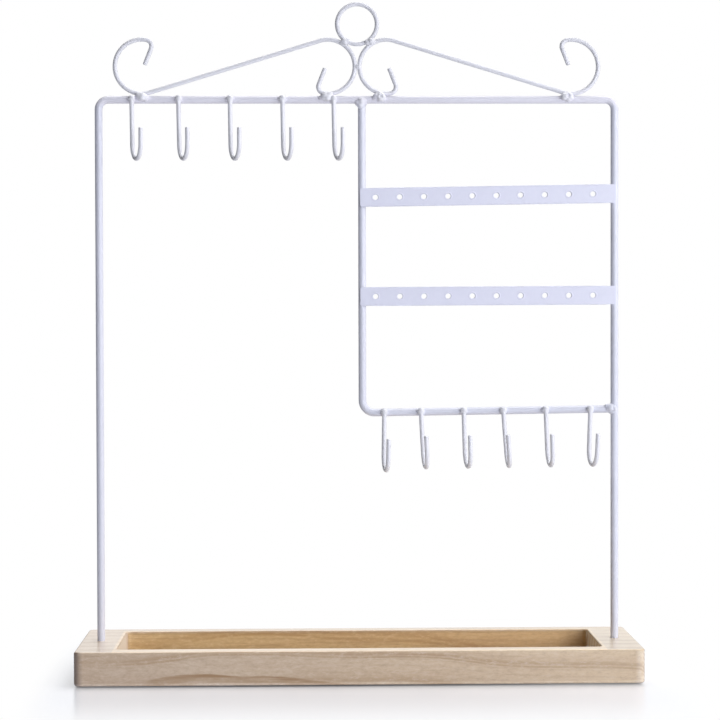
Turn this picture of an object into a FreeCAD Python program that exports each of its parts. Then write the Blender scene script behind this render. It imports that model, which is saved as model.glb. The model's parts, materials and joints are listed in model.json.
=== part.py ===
import FreeCAD, Part
import math
import os
import re
import Sketcher
from FreeCAD import Rotation, Vector

# Jewellery stand: a powder-coated wire frame that stands in a pine base with an open tray.
# Millimetres and degrees. +X runs along the base to the right, +Y to the back and +Z up.
# The origin is the middle of the footprint, at the level of the surface it stands on.

SIZES = {
    # Pine base and the tray that is routed into it.
    "base_length": 300.0,
    "base_depth": 80.0,
    "base_thickness": 18.0,
    "base_corner_radius": 3.5,
    "base_edge_radius": 1.2,
    "tray_end_margin": 21.5,
    "tray_front_rim": 9.5,
    "tray_back_rim": 9.0,
    "tray_depth": 10.5,
    "tray_corner_radius": 3.0,
    "tray_lip_radius": 0.7,
    # Anti-slip pads under the corners.
    "pad_diameter": 12.0,
    "pad_thickness": 0.8,
    "pad_inset": 12.0,
    # Posts: each has a shoulder that seats on a step in the base, and a stud below it.
    "post_inset": 10.7,
    "post_bore_depth": 9.0,
    "post_bore_clearance": 0.12,
    "stud_diameter": 3.0,
    "stud_clearance": 0.15,
    "thread_clearance": 0.05,
    "stud_past_nut": 1.2,
    "counterbore_diameter": 10.0,
    "counterbore_depth": 5.0,
    "washer_diameter": 8.0,
    "washer_thickness": 0.8,
    "nut_across_flats": 5.5,
    "nut_height": 2.4,
    # Hoop of the main frame, over the coating. Wires that are welded side by side lie this gap apart.
    "rod_diameter": 4.16,
    "contact_gap": 0.05,
    "hoop_rise": 292.0,
    "hoop_corner_radius": 5.2,
    # L-shaped rod that frames the earring panel with the right post.
    "panel_width": 136.85,
    "panel_height": 169.1,
    "panel_bend_radius": 6.5,
    "panel_rod_slope": 0.7,
    # Perforated earring strips.
    "strip_width": 10.0,
    "strip_thickness": 1.2,
    "strip_corner_radius": 0.8,
    "strip_left_overhang": 1.1,
    "strip_right_overhang": 0.2,
    "upper_strip_drop": 52.85,
    "upper_strip_slope": 0.84,
    "lower_strip_drop": 106.2,
    "lower_strip_slope": 0.2,
    "earring_hole_diameter": 3.0,
    "earring_hole_count": 10,
    "earring_first_margin": 8.3,
    "earring_last_margin": 12.22,
    "strip_bead_diameter": 1.8,
    "strip_bead_length": 7.0,
    "strip_bead_back": 0.3,
    # Crest: two scroll wires and a ring above the top bar.
    "crest_wire": 2.4,
    "wire_end_radius": 0.5,
    "scroll_radius": 14.55,
    "scroll_inset": 23.4,
    "scroll_tip_slope": 68.5,
    "scroll_tip_bend": 3.5,
    "scroll_tip_aside": 1.5,
    "scroll_tip_past": 0.85,
    "ring_radius": 10.75,
    "crest_weld_radius": 2.7,
    "crest_weld_forward": 0.9,
    "right_near_weld_shift": -3.4,
    "right_far_weld_shift": -2.1,
    "left_near_weld_shift": 1.5,
    "left_far_weld_shift": 0.6,
    "meeting_weld_radius": 1.6,
    "ring_weld_radius": 2.1,
    # Hooks, all bent from one wire.
    "hook_wire": 2.4,
    "hook_bend_radius": 8.0,
    "hook_flare": 2.5,
    "hook_top_rise": 1.5,
    "hook_weld_radius": 2.0,
    "hook_weld_rise": 0.4,
    "hook_weld_back": 0.6,
    "necklace_hook_drop": 32.45,
    "necklace_hook_tip": 16.0,
    "necklace_first_margin": 18.05,
    "necklace_last_margin": 15.25,
    "bracelet_hook_drop": 29.3,
    "bracelet_hook_tip": 17.3,
    "bracelet_first_margin": 11.7,
    "bracelet_last_margin": 13.5,
    # Welds of the panel rod to the hoop, and how far a frame weld lies off the middle of its rod.
    "panel_weld_radius": 2.9,
    "frame_weld_offset": 1.39,
}

# Each hook is welded by hand: it stands a little off its even place (shift), its opening is
# turned towards the right (turn), its foot leans to the left (lean) and it may hang lower (extra).
NECKLACE_HOOKS = [
    {"shift": 0.0, "turn": 20.9, "lean": -0.7},
    {"shift": -2.05, "turn": 19.2, "lean": -1.0},
    {"shift": -1.5, "turn": 18.8, "lean": -0.8},
    {"shift": -0.35, "turn": 16.6, "lean": -0.8},
    {"shift": 0.0, "turn": 15.6, "lean": -1.1},
]
BRACELET_HOOKS = [
    {"shift": 0.0, "turn": 7.0, "lean": 0.8, "extra": 1.2},
    {"shift": -2.5, "turn": 4.6, "lean": -3.0, "extra": 0.0},
    {"shift": -1.7, "turn": 6.6, "lean": -1.7, "extra": 0.0},
    {"shift": -2.6, "turn": 0.5, "lean": -4.3, "extra": 0.0},
    {"shift": -1.9, "turn": 3.9, "lean": -2.3, "extra": 0.0},
    {"shift": 0.0, "turn": 8.3, "lean": 1.9, "extra": 0.0},
]

OUTPUT_FOLDER = "parts"
UPRIGHT = math.pi / 2

# Distances within which two levels count as one, and two places as one.
LEVEL_MATCH = 1e-6
PLACE_MATCH = 1e-3

# Levels and places that follow from the sizes, as formulas of the sheet.
BASE_TOP = "(pad_thickness + base_thickness)"
STEP_LEVEL = "(pad_thickness + base_thickness - post_bore_depth)"
SEAT_LEVEL = "(pad_thickness + counterbore_depth)"
STUD_END = "(pad_thickness + counterbore_depth - washer_thickness - nut_height - stud_past_nut)"
POST_PLACE = "(base_length / 2 - post_inset)"
TOP_BAR_LEVEL = "(pad_thickness + base_thickness + hoop_rise)"
PANEL_ROD_PLACE = "(base_length / 2 - post_inset - panel_width)"
PANEL_ROD_LEVEL = "(pad_thickness + base_thickness + hoop_rise - panel_height)"
SCROLL_LEVEL = ("(pad_thickness + base_thickness + hoop_rise + rod_diameter / 2"
                " + contact_gap + crest_wire / 2 + scroll_radius)")
NEAR_SCROLL_PLACE = "(scroll_radius + crest_wire / 2 + contact_gap / 2)"
FAR_SCROLL_PLACE = "(base_length / 2 - post_inset - scroll_inset)"
RING_DISTANCE = "(ring_radius + scroll_radius + crest_wire + contact_gap)"
RING_LEVEL = "(%s + sqrt(%s^2 - %s^2))" % (SCROLL_LEVEL, RING_DISTANCE, NEAR_SCROLL_PLACE)
HOOK_FRONT = "(rod_diameter / 2 + hook_wire / 2 + contact_gap)"

doc = FreeCAD.newDocument("JewelleryStand")
sheet = doc.addObject("Spreadsheet::Sheet", "Sizes")
nodes = []


def fill_sheet():
    """Write each driving dimension into a cell of its own, with its alias."""
    rows = dict(SIZES)
    for kind, hooks in (("necklace", NECKLACE_HOOKS), ("bracelet", BRACELET_HOOKS)):
        for number, hook in enumerate(hooks, 1):
            for word, size in hook.items():
                rows["%s_%s_%d" % (kind, word, number)] = size
    for row, (alias, size) in enumerate(rows.items(), 1):
        sheet.set("A%d" % row, alias)
        sheet.set("B%d" % row, str(size))
        sheet.setAlias("B%d" % row, alias)
    doc.recompute()
    return set(rows)


ALIASES = fill_sheet()


def with_sheet(formula):
    """Put the sheet's name in front of each size that a formula names."""
    return re.sub(r"[A-Za-z_]\w*",
                  lambda word: "Sizes." + word[0] if word[0] in ALIASES else word[0], formula)


def bind(item, path, formula):
    """Tie one property of an item to the sheet."""
    item.setExpression(path, with_sheet(formula))


def amount(formula):
    """Value of a formula of the sheet, for a sketch's first drawing."""
    return float(sheet.evalExpression(with_sheet(formula)))


def new_body(name):
    """Start a body."""
    return doc.addObject("PartDesign::Body", name)


def new_sketch(body, name, role, height="0"):
    """Start a sketch on one of the body's own planes, lifted along the plane's normal."""
    plane = next(item for item in body.Origin.OriginFeatures if item.Role == role)
    sketch = body.newObject("Sketcher::SketchObject", name)
    sketch.AttachmentSupport = [(plane, "")]
    sketch.MapMode = "FlatFace"
    bind(sketch, "AttachmentOffset.Base.z", height)
    return sketch


def add_line(sketch, start, end):
    """Draw a line between two points given as pairs."""
    return sketch.addGeometry(Part.LineSegment(Vector(*start, 0), Vector(*end, 0)))


def add_arc(sketch, centre, radius, first, last):
    """Draw an arc that runs anticlockwise between two angles in radians."""
    circle = Part.Circle(Vector(*centre, 0), Vector(0, 0, 1), radius)
    return sketch.addGeometry(Part.ArcOfCircle(circle, first, last))


def relate(sketch, kind, *places):
    """Add a constraint that has no size."""
    sketch.addConstraint(Sketcher.Constraint(kind, *places))


def measure(sketch, kind, formula, *places):
    """Add a dimension that follows the sheet."""
    value = amount(formula)
    if kind == "Angle":
        value = math.radians(value)
    index = sketch.addConstraint(Sketcher.Constraint(kind, *places, value))
    bind(sketch, "Constraints[%d]" % index, formula)


# Places in a sketch: the ends and centre of a line or an arc, the sketch's own two axes, and its origin.
START, END, CENTRE = range(1, 4)
UPRIGHT_AXIS, LEVEL_AXIS = range(-2, 0)
ORIGIN = (LEVEL_AXIS, START)


def draw_rectangle(sketch, left, right, low, high):
    """Draw a rectangle whose four sides stand at given formulas."""
    x0, x1, y0, y1 = (amount(side) for side in (left, right, low, high))
    corners = [(x0, y0), (x1, y0), (x1, y1), (x0, y1)]
    sides = [add_line(sketch, corners[i], corners[(i + 1) % 4]) for i in range(4)]
    for i, side in enumerate(sides):
        relate(sketch, "Coincident", side, END, sides[(i + 1) % 4], START)
        relate(sketch, "Vertical" if i % 2 else "Horizontal", side)
    measure(sketch, "DistanceX", left, *ORIGIN, sides[0], START)
    measure(sketch, "DistanceX", right, *ORIGIN, sides[0], END)
    measure(sketch, "DistanceY", low, *ORIGIN, sides[0], START)
    measure(sketch, "DistanceY", high, *ORIGIN, sides[2], START)


def draw_circle(sketch, x, y, diameter):
    """Draw a circle at given formulas."""
    middle = Vector(amount(x), amount(y), 0)
    circle = sketch.addGeometry(Part.Circle(middle, Vector(0, 0, 1), amount(diameter) / 2))
    measure(sketch, "DistanceX", x, *ORIGIN, circle, CENTRE)
    measure(sketch, "DistanceY", y, *ORIGIN, circle, CENTRE)
    measure(sketch, "Diameter", diameter, circle)


def pad(body, sketch, name, length):
    """Pad a sketch along its plane's normal."""
    feature = body.newObject("PartDesign::Pad", name)
    feature.Profile = sketch
    bind(feature, "Length", length)
    return feature


def pocket(body, sketch, name, depth, upwards=False):
    """Cut a pocket, and make sure that it takes material away."""
    before = body.Shape.Volume
    feature = body.newObject("PartDesign::Pocket", name)
    feature.Profile = sketch
    feature.Reversed = upwards
    bind(feature, "Length", depth)
    doc.recompute()
    if body.Shape.Volume >= before:
        raise RuntimeError(name + " cuts nothing")
    return feature


def edge_names(feature, wanted):
    """Names of the edges that pass a test."""
    return ["Edge%d" % i for i, edge in enumerate(feature.Shape.Edges, 1) if wanted(edge)]


def fillet(body, feature, name, radius, wanted):
    """Round the edges of a feature that pass a test."""
    doc.recompute()
    rounding = body.newObject("PartDesign::Fillet", name)
    rounding.Base = (feature, edge_names(feature, wanted))
    bind(rounding, "Radius", radius)
    doc.recompute()
    return rounding


def at_level(level):
    """Test for edges that lie in one horizontal plane."""
    height = amount(level)
    return lambda edge: (abs(edge.BoundBox.ZMin - height) < LEVEL_MATCH
                         and abs(edge.BoundBox.ZMax - height) < LEVEL_MATCH)


def upright_between(low, high):
    """Test for straight upright edges between two levels."""
    bottom, top = amount(low), amount(high)
    return lambda edge: (edge.BoundBox.XLength < LEVEL_MATCH and edge.BoundBox.YLength < LEVEL_MATCH
                         and abs(edge.BoundBox.ZMin - bottom) < LEVEL_MATCH
                         and abs(edge.BoundBox.ZMax - top) < LEVEL_MATCH)


def near_points(points):
    """Test for edges whose middle of mass lies at one of some points."""
    return lambda edge: any(edge.CenterOfMass.distanceToPoint(point) < PLACE_MATCH for point in points)


def sweep_wire(body, route, diameter):
    """Sweep a round wire along a route of tangent lines and arcs."""
    section = body.newObject("Sketcher::SketchObject", route.Name + "_section")
    section.AttachmentSupport = [(route, "Edge1")]
    section.MapMode = "NormalToEdge"
    draw_circle(section, "0", "0", diameter)
    doc.recompute()
    pipe = body.newObject("PartDesign::AdditivePipe", route.Name + "_wire")
    pipe.Profile = section
    pipe.Spine = (route, ["Edge%d" % i for i in range(1, route.GeometryCount + 1)])
    doc.recompute()
    return pipe


def place(item, x, y, z, turn="rotation(0; 0; 0)"):
    """Tie an item's place and turn to the sheet."""
    bind(item, "Placement", "placement(vector(%s; %s; %s); %s)" % (x, y, z, turn))


def new_cylinder(name, diameter, height, x, y, z):
    """Make an upright cylinder from its foot."""
    cylinder = doc.addObject("Part::Cylinder", name)
    bind(cylinder, "Radius", "(%s) / 2" % diameter)
    bind(cylinder, "Height", height)
    place(cylinder, x, y, z)
    return cylinder


def cut(name, item, tool):
    """Cut one item out of another."""
    result = doc.addObject("Part::Cut", name)
    result.Base = item
    result.Tool = tool
    return result


def new_weld(name, centre, radius):
    """Make a round weld nugget, with the poles of its surface to the front and the back."""
    weld = doc.addObject("Part::Sphere", name)
    bind(weld, "Radius", radius)
    place(weld, *centre, "rotation(vector(1; 0; 0); 90)")
    return weld


def join(name, items):
    """Fuse a wire with its weld nuggets."""
    fusion = doc.addObject("Part::MultiFuse", name)
    fusion.Shapes = items
    return fusion


def trim(name, item, tools):
    """Cut an item back to the surfaces of the pieces that it is welded to."""
    for number, tool in enumerate(tools, 1):
        item = cut("%s_trim_%d" % (name, number), item, tool)
    return keep(name, item)


def keep(name, item):
    """Mark an item as a sub-part of the stand."""
    item.Label = name
    nodes.append(item)
    return item


def make_base():
    """Pine block with the tray, and a stepped bore and a counterbore for each post."""
    body = new_body("base_body")
    outline = new_sketch(body, "base_outline", "XY_Plane", "pad_thickness")
    draw_rectangle(outline, "-base_length / 2", "base_length / 2", "-base_depth / 2", "base_depth / 2")
    block = pad(body, outline, "base_block", "base_thickness")
    corners = fillet(body, block, "base_corners", "base_corner_radius",
                     upright_between("pad_thickness", BASE_TOP))
    ends = [at_level("pad_thickness"), at_level(BASE_TOP)]
    fillet(body, corners, "base_edges", "base_edge_radius",
           lambda edge: any(test(edge) for test in ends))

    mouth = new_sketch(body, "tray_mouth", "XY_Plane", BASE_TOP)
    draw_rectangle(mouth, "tray_end_margin - base_length / 2", "base_length / 2 - tray_end_margin",
                   "tray_front_rim - base_depth / 2", "base_depth / 2 - tray_back_rim")
    tray = pocket(body, mouth, "tray_recess", "tray_depth")
    tray_corners = fillet(body, tray, "tray_corners", "tray_corner_radius",
                          upright_between(BASE_TOP + " - tray_depth", BASE_TOP))
    reach = amount("base_depth / 2 - base_edge_radius")
    top = at_level(BASE_TOP)
    end = amount("base_length / 2 - base_edge_radius")
    fillet(body, tray_corners, "tray_lip", "tray_lip_radius",
           lambda edge: top(edge) and abs(edge.BoundBox.Center.x) < end - PLACE_MATCH
           and edge.BoundBox.YMax < reach - PLACE_MATCH and edge.BoundBox.YMin > PLACE_MATCH - reach)

    bores = [
        ("post_bores", BASE_TOP, "rod_diameter + 2 * post_bore_clearance", "post_bore_depth", False),
        ("stud_bores", BASE_TOP, "stud_diameter + 2 * stud_clearance", "base_thickness", False),
        ("counterbores", "pad_thickness", "counterbore_diameter", "counterbore_depth", True),
    ]
    for name, level, diameter, depth, upwards in bores:
        rings = new_sketch(body, name + "_rings", "XY_Plane", level)
        for side in ("-", ""):
            draw_circle(rings, side + POST_PLACE, "0", diameter)
        pocket(body, rings, name, depth, upwards)
    keep("wood_base", body)


def make_hoop():
    """Main frame: two posts and the top bar in one rod, with a stud turned on each post."""
    body = new_body("hoop_body")
    route = new_sketch(body, "hoop_route", "XZ_Plane")
    side, foot, top = (amount(f) for f in (POST_PLACE, STEP_LEVEL, TOP_BAR_LEVEL))
    bend = amount("hoop_corner_radius")
    left = add_line(route, (-side, foot), (-side, top - bend))
    left_bend = add_arc(route, (bend - side, top - bend), bend, UPRIGHT, math.pi)
    bar = add_line(route, (bend - side, top), (side - bend, top))
    right_bend = add_arc(route, (side - bend, top - bend), bend, 0, UPRIGHT)
    right = add_line(route, (side, top - bend), (side, foot))
    relate(route, "Tangent", left, END, left_bend, END)
    relate(route, "Tangent", left_bend, START, bar, START)
    relate(route, "Tangent", bar, END, right_bend, END)
    relate(route, "Tangent", right_bend, START, right, START)
    relate(route, "Vertical", left)
    relate(route, "Horizontal", bar)
    relate(route, "Vertical", right)
    relate(route, "Equal", left_bend, right_bend)
    measure(route, "Radius", "hoop_corner_radius", left_bend)
    measure(route, "DistanceX", "-" + POST_PLACE, *ORIGIN, left, START)
    measure(route, "DistanceX", POST_PLACE, *ORIGIN, right, END)
    measure(route, "DistanceY", STEP_LEVEL, *ORIGIN, left, START)
    measure(route, "DistanceY", STEP_LEVEL, *ORIGIN, right, END)
    measure(route, "DistanceY", TOP_BAR_LEVEL, *ORIGIN, bar, START)
    sweep_wire(body, route, "rod_diameter")

    rings = new_sketch(body, "stud_rings", "XY_Plane", STUD_END)
    for sign in ("-", ""):
        draw_circle(rings, sign + POST_PLACE, "0", "stud_diameter")
    pad(body, rings, "studs", STEP_LEVEL + " - " + STUD_END)
    return keep("main_frame_hoop", body)


def make_panel_rod(hoop):
    """L-shaped rod, coped and welded under the top bar and against the right post."""
    body = new_body("panel_body")
    route = new_sketch(body, "panel_route", "XZ_Plane")
    x, top, low = (amount(f) for f in (PANEL_ROD_PLACE, TOP_BAR_LEVEL, PANEL_ROD_LEVEL))
    width, bend, slope = (amount(f) for f in ("panel_width", "panel_bend_radius", "panel_rod_slope"))
    tilt = math.radians(slope)
    reach = bend * math.tan((UPRIGHT + tilt) / 2)
    corner = (x + bend, low + reach)
    upright = add_line(route, (x, top), (x, corner[1]))
    turn = add_arc(route, corner, bend, math.pi, 3 * UPRIGHT + tilt)
    rail = add_line(route, (x + reach * math.cos(tilt), low + reach * math.sin(tilt)),
                    (x + width, low + width * math.tan(tilt)))
    relate(route, "Vertical", upright)
    relate(route, "Tangent", upright, END, turn, START)
    relate(route, "Tangent", turn, END, rail, START)
    measure(route, "Radius", "panel_bend_radius", turn)
    measure(route, "Angle", "panel_rod_slope", rail)
    measure(route, "DistanceX", PANEL_ROD_PLACE, *ORIGIN, upright, START)
    measure(route, "DistanceY", TOP_BAR_LEVEL, *ORIGIN, upright, START)
    measure(route, "DistanceX", POST_PLACE, *ORIGIN, rail, END)
    measure(route, "DistanceY", PANEL_ROD_LEVEL + " + panel_width * tan(panel_rod_slope)",
            *ORIGIN, rail, END)
    sweep_wire(body, route, "rod_diameter")

    top_weld = new_weld("panel_top_weld", (PANEL_ROD_PLACE, "0", TOP_BAR_LEVEL + " - frame_weld_offset"),
                        "panel_weld_radius")
    side_weld = new_weld("panel_side_weld", (
        POST_PLACE + " - frame_weld_offset", "0",
        PANEL_ROD_LEVEL + " + panel_width * tan(panel_rod_slope)"), "panel_weld_radius")
    return trim("panel_frame_rod", join("panel_rod_welded", [body, top_weld, side_weld]), [hoop])


def make_strip(name, drop, slope, rods):
    """Perforated strip on the front of the two rods, with a weld bead behind each inner corner."""
    body = new_body(name + "_body")
    face = new_sketch(body, name + "_face", "XZ_Plane", "rod_diameter / 2 + contact_gap")
    length = "(panel_width + strip_left_overhang + strip_right_overhang)"
    draw_rectangle(face, "0", length, "-strip_width / 2", "strip_width / 2")
    plate = pad(body, face, name + "_plate", "strip_thickness")
    fillet(body, plate, name + "_corners", "strip_corner_radius",
           lambda edge: edge.BoundBox.XLength < 1e-6 and edge.BoundBox.ZLength < 1e-6)
    spot = new_sketch(body, name + "_spot", "XZ_Plane", "rod_diameter / 2 + contact_gap")
    draw_circle(spot, "earring_first_margin", "0", "earring_hole_diameter")
    hole = pocket(body, spot, name + "_hole", "strip_thickness", True)
    row = body.newObject("PartDesign::LinearPattern", name + "_holes")
    row.Originals = [hole]
    row.Direction = (face, ["H_Axis"])
    bind(row, "Length", length + " - earring_first_margin - earring_last_margin")
    bind(row, "Occurrences", "earring_hole_count")
    body.Tip = row
    level = TOP_BAR_LEVEL + " - " + drop
    place(body, PANEL_ROD_PLACE + " - strip_left_overhang", "0", level,
          "rotation(vector(0; 1; 0); -%s)" % slope)

    beads = []
    for number, (rod, side) in enumerate(((PANEL_ROD_PLACE, "+"), (POST_PLACE, "-")), 1):
        across = "(%s %s rod_diameter / 2 - %s + strip_left_overhang)" % (rod, side, PANEL_ROD_PLACE)
        beads.append(new_cylinder(
            "%s_bead_%d" % (name, number), "strip_bead_diameter", "strip_bead_length",
            "%s %s rod_diameter / 2" % (rod, side), "strip_bead_back - rod_diameter / 2",
            "%s + %s * tan(%s) - strip_bead_length / 2" % (level, across, slope)))
    return trim(name, join(name + "_welded", [body] + beads), rods)


def scroll_end(turned):
    """Work out how a scroll coils from its large arc through a tight bend to its tip.

    Points are measured from the scroll's centre. The coil runs anticlockwise, and the other
    end of the wire is the same shape turned by half a turn.
    """
    radius, bend = amount("scroll_radius"), amount("scroll_tip_bend")
    slope = math.radians(amount("scroll_tip_slope"))
    along = Vector(math.cos(slope), -math.sin(slope), 0)
    across = Vector(math.sin(slope), math.cos(slope), 0)
    tip = Vector(-amount("scroll_tip_aside"), amount("scroll_tip_past"), 0)
    reach = tip + across * bend
    drift = reach.dot(along)
    straight = drift + math.sqrt(drift ** 2 - reach.dot(reach) + (radius - bend) ** 2)
    middle = reach - along * straight
    half_turn = Rotation(Vector(0, 0, 1), 180 if turned else 0)
    extra = math.pi if turned else 0
    return {
        "tip": half_turn.multVec(tip),
        "tip_root": half_turn.multVec(tip - along * straight),
        "bend_middle": half_turn.multVec(middle),
        "arc_end": math.atan2(middle.y, middle.x) + extra,
        "bend_end": math.pi + UPRIGHT - slope + extra,
    }


def draw_crest_route(route):
    """Draw a crest wire: a scroll beside the ring, a straight run and a scroll above the post."""
    near = Vector(amount(NEAR_SCROLL_PLACE), amount(SCROLL_LEVEL), 0)
    far = Vector(amount(FAR_SCROLL_PLACE), amount(SCROLL_LEVEL), 0)
    radius, bend = amount("scroll_radius"), amount("scroll_tip_bend")
    fall = math.asin(2 * radius / (far.x - near.x))
    rise = Vector(math.sin(fall), math.cos(fall), 0) * radius
    coil, uncoil = scroll_end(True), scroll_end(False)

    def point(place):
        return (place.x, place.y)

    first_tip = add_line(route, point(near + coil["tip"]), point(near + coil["tip_root"]))
    first_bend = add_arc(route, point(near + coil["bend_middle"]), bend,
                         coil["arc_end"], coil["bend_end"])
    first_arc = add_arc(route, point(near), radius, UPRIGHT - fall, coil["arc_end"])
    run = add_line(route, point(near + rise), point(far - rise))
    last_arc = add_arc(route, point(far), radius, 3 * UPRIGHT - fall, uncoil["arc_end"] + 2 * math.pi)
    last_bend = add_arc(route, point(far + uncoil["bend_middle"]), bend,
                        uncoil["arc_end"], uncoil["bend_end"])
    last_tip = add_line(route, point(far + uncoil["tip_root"]), point(far + uncoil["tip"]))

    for line, line_end, turn, arc in ((first_tip, END, first_bend, first_arc),
                                      (last_tip, START, last_bend, last_arc)):
        relate(route, "Tangent", line, line_end, turn, END)
        relate(route, "Tangent", turn, START, arc, END)
        measure(route, "Radius", "scroll_tip_bend", turn)
        measure(route, "Radius", "scroll_radius", arc)
        measure(route, "DistanceY", SCROLL_LEVEL, *ORIGIN, arc, CENTRE)
    relate(route, "Tangent", run, START, first_arc, START)
    relate(route, "Tangent", run, END, last_arc, START)
    measure(route, "DistanceX", NEAR_SCROLL_PLACE, *ORIGIN, first_arc, CENTRE)
    measure(route, "DistanceX", FAR_SCROLL_PLACE, *ORIGIN, last_arc, CENTRE)
    for line, line_end, arc, aside, past in (
            (first_tip, START, first_arc, "scroll_tip_aside", "-scroll_tip_past"),
            (last_tip, END, last_arc, "-scroll_tip_aside", "scroll_tip_past")):
        measure(route, "Angle", "-scroll_tip_slope", line)
        measure(route, "DistanceX", aside, arc, CENTRE, line, line_end)
        measure(route, "DistanceY", past, arc, CENTRE, line, line_end)


def round_tips(body, route, pipe, name, tips):
    """Round the cut ends of a wire, given as lines of its route and their ends."""
    points = [route.Placement.multVec(route.getPoint(line, end)) for line, end in tips]
    return fillet(body, pipe, name, "wire_end_radius", near_points(points))


def make_crest(hoop):
    """Two mirrored scroll wires that meet in the middle, and the ring that sits on them."""
    body = new_body("crest_wire_body")
    route = new_sketch(body, "crest_route", "XZ_Plane")
    draw_crest_route(route)
    pipe = sweep_wire(body, route, "crest_wire")
    round_tips(body, route, pipe, "crest_wire_ends", ((0, START), (route.GeometryCount - 1, END)))
    mirrored = doc.addObject("Part::Mirroring", "crest_wire_mirrored")
    mirrored.Source = body
    mirrored.Normal = (1, 0, 0)

    bar_level = TOP_BAR_LEVEL + " + frame_weld_offset"
    wires = {}
    for side, sign, wire in (("right", "", body), ("left", "-", mirrored)):
        pieces = [wire]
        for spot, middle in (("near", NEAR_SCROLL_PLACE), ("far", FAR_SCROLL_PLACE)):
            across = "%s(%s + %s_%s_weld_shift)" % (sign, middle, side, spot)
            pieces.append(new_weld("crest_%s_%s_weld" % (side, spot),
                                   (across, "-crest_weld_forward", bar_level), "crest_weld_radius"))
        wires[side] = pieces
    meeting = new_weld("crest_meeting_weld", ("0", "0", SCROLL_LEVEL), "meeting_weld_radius")
    right = trim("crest_scroll_right", join("crest_right_welded", wires["right"]), [hoop])
    left = trim("crest_scroll_left", join("crest_left_welded", wires["left"] + [meeting]), [hoop, right])

    ring = doc.addObject("Part::Torus", "ring_wire")
    bind(ring, "Radius1", "ring_radius")
    bind(ring, "Radius2", "crest_wire / 2")
    place(ring, "0", "0", RING_LEVEL, "rotation(vector(1; 0; 0); 90)")
    share = "(ring_radius + crest_wire / 2) / " + RING_DISTANCE
    drop = "(%s - %s)" % (RING_LEVEL, SCROLL_LEVEL)
    welds = []
    for side, sign in (("right", ""), ("left", "-")):
        spot = ("%s%s * %s" % (sign, NEAR_SCROLL_PLACE, share), "0",
                "%s - %s * %s" % (RING_LEVEL, drop, share))
        welds.append(new_weld("ring_%s_weld" % side, spot, "ring_weld_radius"))
    trim("crest_ring", join("ring_welded", [ring] + welds), [right, left])


def draw_hook_route(route, drop, tip):
    """Draw a hook from its welded top, down its leg and round its bend to its tip."""
    bend, rise, flare = (amount(f) for f in ("hook_bend_radius", "hook_top_rise", "hook_flare"))
    low, high = amount("%s - hook_bend_radius" % drop), amount("%s - %s" % (tip, drop))
    tilt = math.radians(flare)
    front = (-bend * (1 + math.cos(tilt)), -low - bend * math.sin(tilt))
    reach = (high - front[1]) * math.tan(tilt)
    leg = add_line(route, (0, rise), (0, -low))
    turn = add_arc(route, (-bend, -low), bend, math.pi + tilt, 2 * math.pi)
    point = add_line(route, front, (front[0] - reach, high))
    relate(route, "PointOnObject", leg, START, UPRIGHT_AXIS)
    relate(route, "Vertical", leg)
    relate(route, "Tangent", leg, END, turn, END)
    relate(route, "Tangent", turn, START, point, START)
    measure(route, "DistanceY", "hook_top_rise", *ORIGIN, leg, START)
    measure(route, "DistanceY", "hook_bend_radius - %s" % drop, *ORIGIN, turn, CENTRE)
    measure(route, "Radius", "hook_bend_radius", turn)
    measure(route, "Angle", "90 + hook_flare", point)
    measure(route, "DistanceY", "%s - %s" % (tip, drop), *ORIGIN, point, END)


def make_hook(name, kind, number, x, level, drop, rod):
    """J hook welded on the front of a rod."""
    body = new_body(name + "_body")
    route = new_sketch(body, name + "_route", "YZ_Plane")
    draw_hook_route(route, drop, "%s_hook_tip" % kind)
    pipe = sweep_wire(body, route, "hook_wire")
    round_tips(body, route, pipe, name + "_tip", [(route.GeometryCount - 1, END)])
    turn = ("rotation(vector(0; 1; 0); %s_lean_%d) * rotation(vector(0; 0; 1); %s_turn_%d)"
            % (kind, number, kind, number))
    place(body, x, "-" + HOOK_FRONT, level, turn)
    spot = (x, "hook_weld_back - " + HOOK_FRONT, level + " + hook_weld_rise")
    weld = new_weld(name + "_weld", spot, "hook_weld_radius")
    trim(name, join(name + "_welded", [body, weld]), [rod])


def make_hooks(hoop, panel_rod):
    """Necklace hooks on the open part of the top bar, and bracelet hooks on the panel rod."""
    count = len(NECKLACE_HOOKS)
    pitch = ("(%s + %s - necklace_first_margin - necklace_last_margin) / %d"
             % (PANEL_ROD_PLACE, POST_PLACE, count - 1))
    for number in range(1, count + 1):
        x = ("(necklace_first_margin - %s + %d * %s + necklace_shift_%d)"
             % (POST_PLACE, number - 1, pitch, number))
        make_hook("necklace_hook_%d" % number, "necklace", number, x, TOP_BAR_LEVEL,
                  "necklace_hook_drop", hoop)

    count = len(BRACELET_HOOKS)
    pitch = "(panel_width - bracelet_first_margin - bracelet_last_margin) / %d" % (count - 1)
    for number in range(1, count + 1):
        across = "(bracelet_first_margin + %d * %s + bracelet_shift_%d)" % (number - 1, pitch, number)
        x = "(%s + %s)" % (PANEL_ROD_PLACE, across)
        level = "(%s + %s * tan(panel_rod_slope))" % (PANEL_ROD_LEVEL, across)
        drop = "(bracelet_hook_drop + bracelet_extra_%d)" % number
        make_hook("bracelet_hook_%d" % number, "bracelet", number, x, level, drop, panel_rod)


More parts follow.
